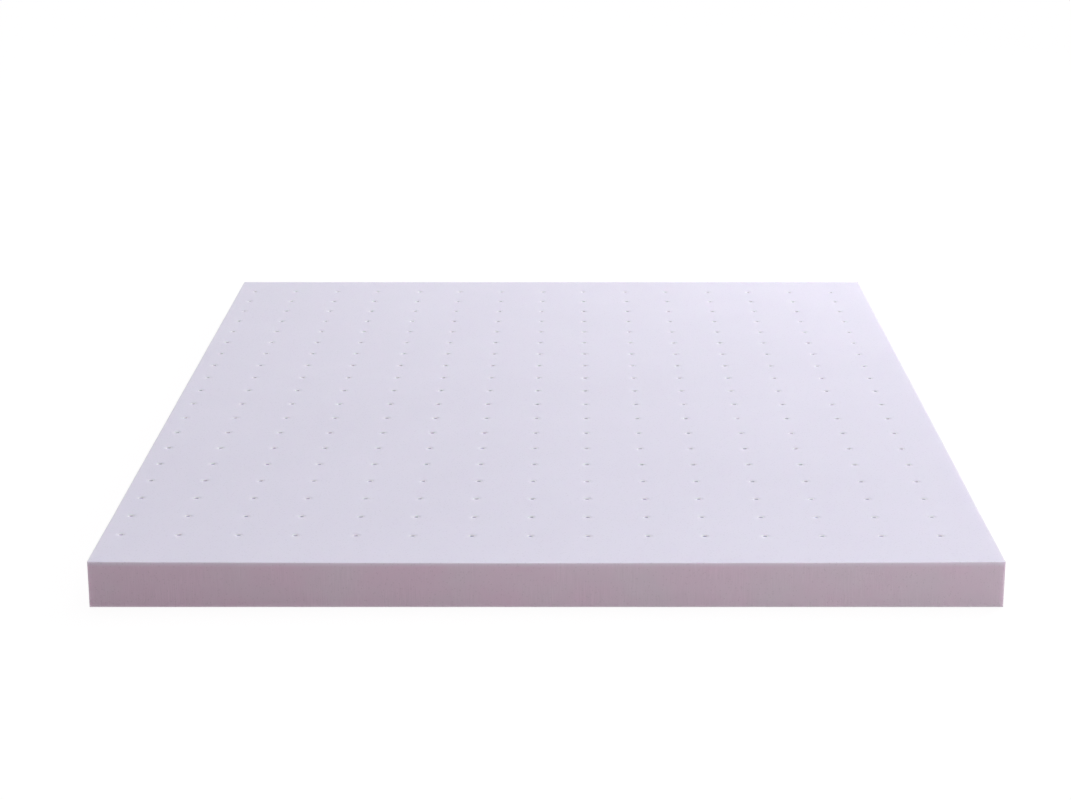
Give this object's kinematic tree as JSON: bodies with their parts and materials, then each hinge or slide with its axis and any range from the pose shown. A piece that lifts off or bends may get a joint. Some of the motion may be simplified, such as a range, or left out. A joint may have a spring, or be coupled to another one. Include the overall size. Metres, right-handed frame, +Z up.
{
  "type": "foam mattress",
  "caption": "Bare flat foam mattress slab with sawn sides and a grid of small vent holes right through it.",
  "frame": {"origin": "centre of the underside, where the slab rests", "axes": "+X across the bed, +Y along it from the foot end to the head end, +Z up through the lying surface"},
  "size_m": [1.524, 2.032, 0.08],
  "materials": {
    "foam": "matt open-cell foam, pale lilac"
  },
  "bodies": {
    "root": {"foam_slab": "foam"}
  },
  "joints": []
}
